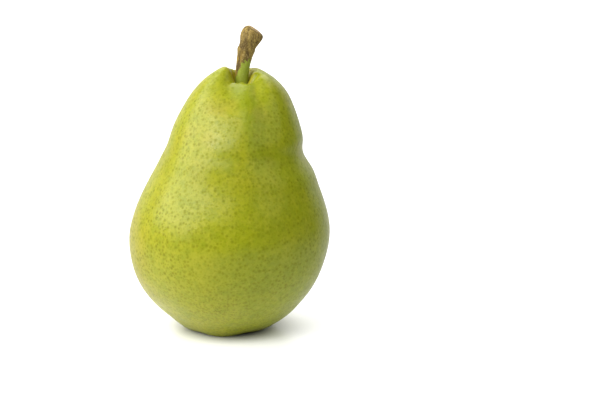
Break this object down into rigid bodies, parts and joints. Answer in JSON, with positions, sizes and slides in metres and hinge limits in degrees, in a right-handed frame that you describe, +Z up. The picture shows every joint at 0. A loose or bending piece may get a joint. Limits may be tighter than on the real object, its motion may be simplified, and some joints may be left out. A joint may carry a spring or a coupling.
{
  "type": "pear",
  "caption": "Whole pear standing on its own base, with a stubby neck, a soft waist, a bent woody stem and a dried calyx in the basin underneath.",
  "frame": {"origin": "middle of the underside of the whole pear's bounding box, on the surface it stands on", "axes": "+Z up along the fruit from its base to its stem, -Y towards the front where the furrow shows, +X to the right, the way the neck and the stem lean"},
  "size_m": [0.068, 0.068, 0.1031],
  "materials": {
    "skin": "satin, waxy yellow-green fruit skin with fine darker dots",
    "stem_bark": "rough brown bark, green where it leaves the fruit",
    "dried_calyx": "dry and dark brown"
  },
  "bodies": {
    "root": {"fruit": "skin", "stem": "stem_bark", "sepal_1": "dried_calyx", "sepal_2": "dried_calyx", "sepal_3": "dried_calyx", "sepal_4": "dried_calyx", "sepal_5": "dried_calyx", "stamen_tuft": "dried_calyx"}
  },
  "joints": []
}
